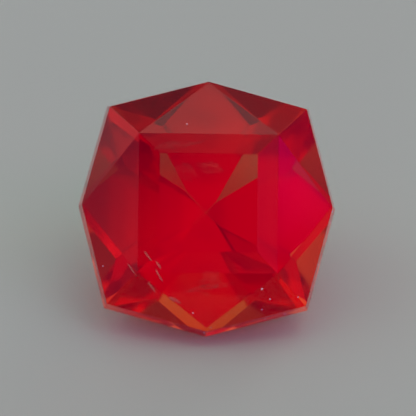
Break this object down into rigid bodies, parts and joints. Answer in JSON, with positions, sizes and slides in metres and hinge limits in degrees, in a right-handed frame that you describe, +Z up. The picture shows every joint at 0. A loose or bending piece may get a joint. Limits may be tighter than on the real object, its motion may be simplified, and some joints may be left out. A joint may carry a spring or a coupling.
{
  "type": "faceted tourmaline gemstone",
  "caption": "Clear deep red tourmaline, a square cut with softly bowed sides, lying on one pavilion facet with its table tipped forward.",
  "frame": {"origin": "on the surface the stone lies on, below the middle of its box", "axes": "+Z up; the table tips towards -Y, 43 degrees from level; X runs across the stone's front"},
  "size_m": [0.008, 0.0062, 0.0059],
  "materials": {
    "stone": "polished flat facets, clear through, deep red with orange where the stone is thin"
  },
  "bodies": {
    "root": {"tourmaline": "stone"}
  },
  "joints": []
}
